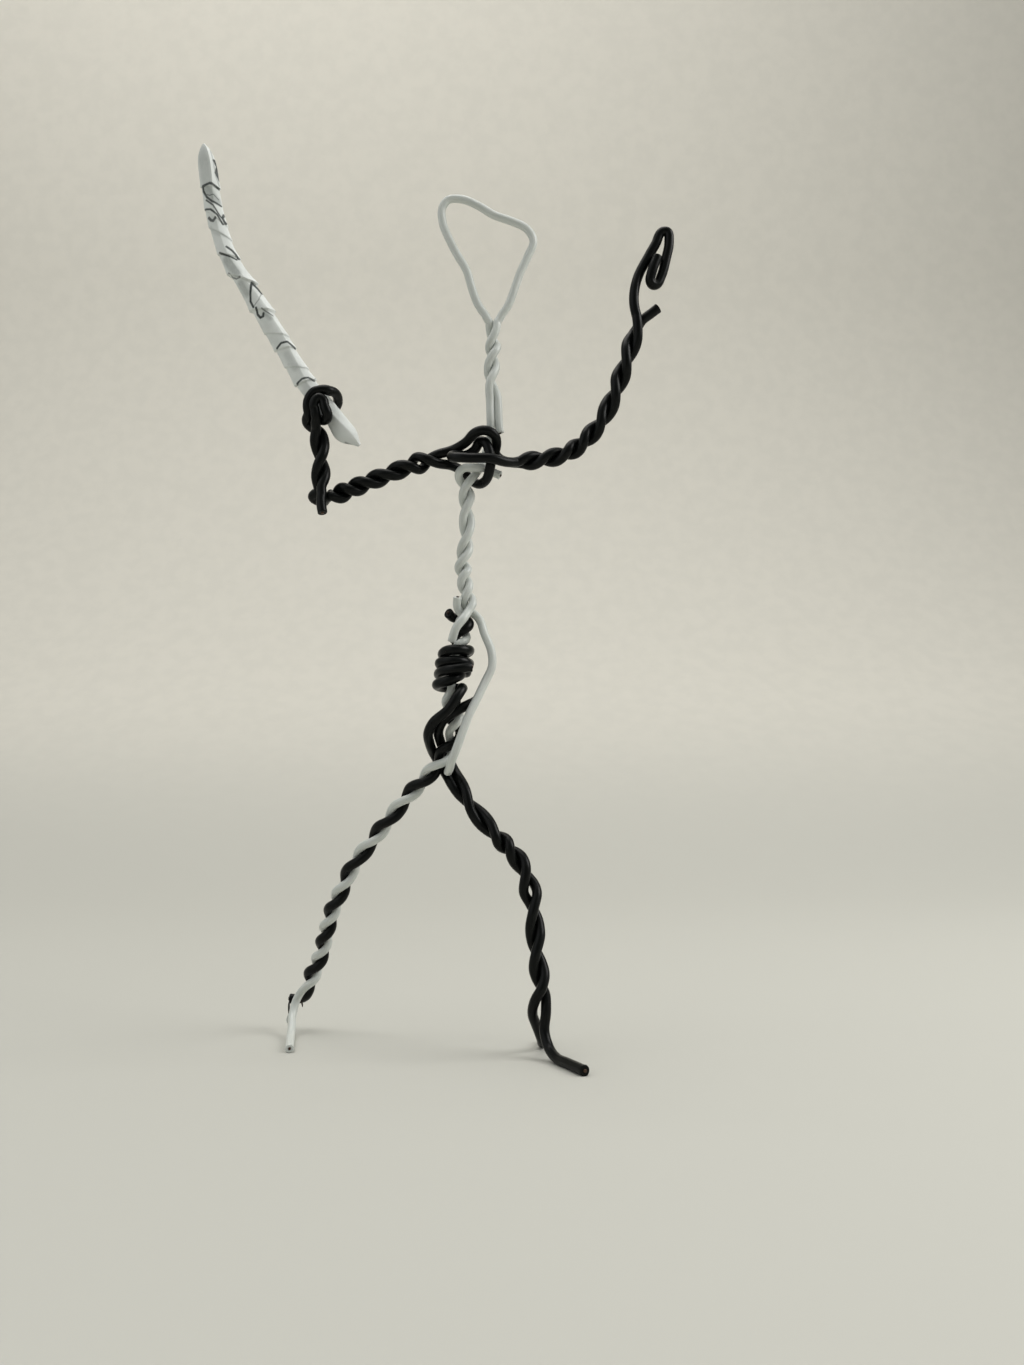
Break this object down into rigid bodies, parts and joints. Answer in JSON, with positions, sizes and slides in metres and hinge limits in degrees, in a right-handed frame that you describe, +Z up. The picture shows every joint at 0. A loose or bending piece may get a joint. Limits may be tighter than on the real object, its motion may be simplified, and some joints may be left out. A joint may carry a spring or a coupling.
{
  "type": "wire sculpture",
  "caption": "Standing figure twisted from white and black insulated wire, with a loop for its head and a long rolled-paper sword held in one fist.",
  "frame": {"origin": "on the floor, under the middle of the figure's box", "axes": "+Z up; the figure faces -Y; the sword and the left foot are on the -X side, the raised open hand on the +X side"},
  "size_m": [0.0976, 0.042, 0.1838],
  "materials": {
    "white_insulation": "satin",
    "black_insulation": "satin",
    "rolled_paper": "matte"
  },
  "bodies": {
    "root": {"head_wire": "white_insulation", "torso_bow_wire": "white_insulation", "left_leg_white_wire": "white_insulation", "left_leg_black_wire": "black_insulation", "right_leg_wire_a": "black_insulation", "right_leg_wire_b": "black_insulation", "arm_wire_a": "black_insulation", "arm_wire_b": "black_insulation", "sword": "rolled_paper"}
  },
  "joints": []
}
